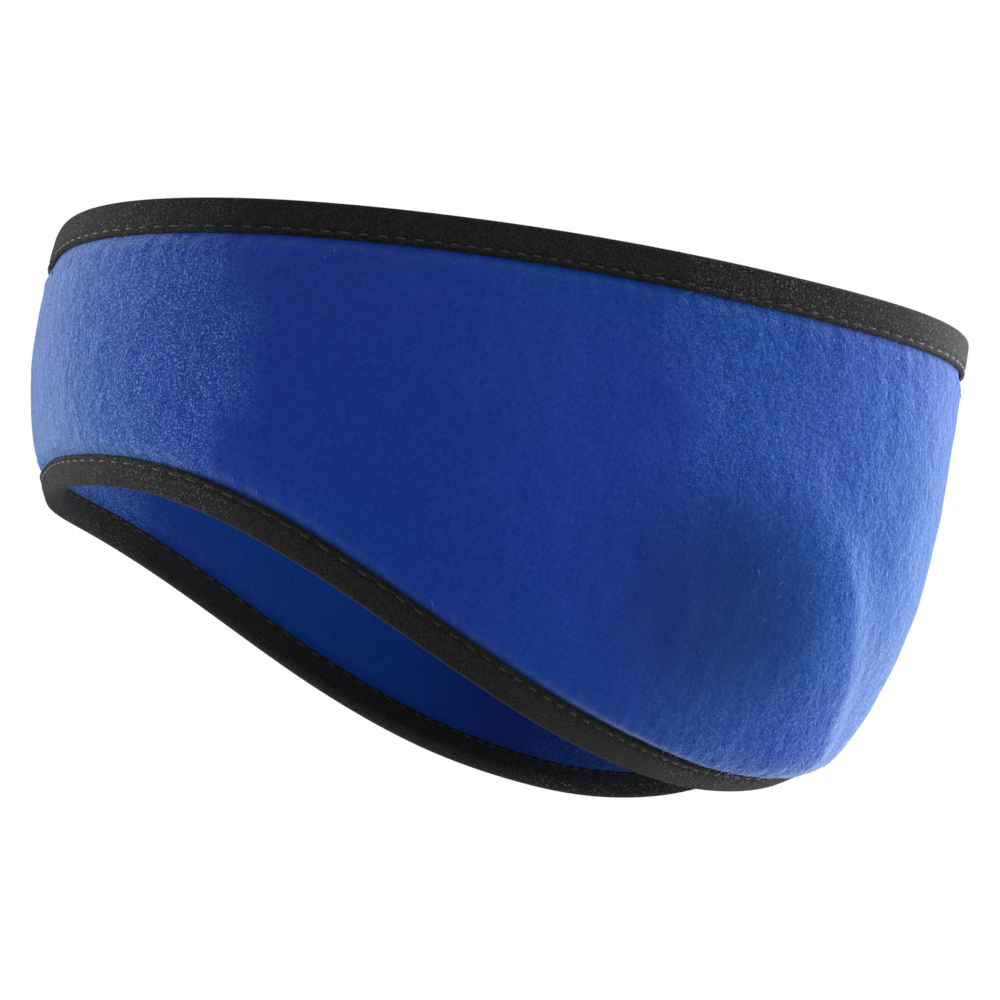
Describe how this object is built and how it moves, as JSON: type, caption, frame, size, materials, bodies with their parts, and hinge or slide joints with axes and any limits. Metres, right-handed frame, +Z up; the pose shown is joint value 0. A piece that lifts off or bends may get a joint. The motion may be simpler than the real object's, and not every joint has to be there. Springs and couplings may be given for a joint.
{
  "type": "fleece ear warmer headband",
  "caption": "Loop of fleece worn round the head, narrow over the forehead and deep over the ears, with a folded stretch binding along its top and bottom edges.",
  "frame": {"origin": "middle of the head's girth, on the centre line of the loop, where the band sits on a head", "axes": "+Z up through the crown, -Y towards the forehead and +Y towards the nape, +X towards the wearer's left ear; the band is tilted as worn, nape lower"},
  "size_m": [0.1754, 0.2023, 0.1212],
  "materials": {
    "fleece": "brushed polar fleece, soft short pile",
    "stretch_binding": "fine stretch knit, dull",
    "thread": "sewing thread, slight lustre"
  },
  "bodies": {
    "root": {"fleece_band": "fleece", "top_binding": "stretch_binding", "bottom_binding": "stretch_binding"}
  },
  "joints": []
}
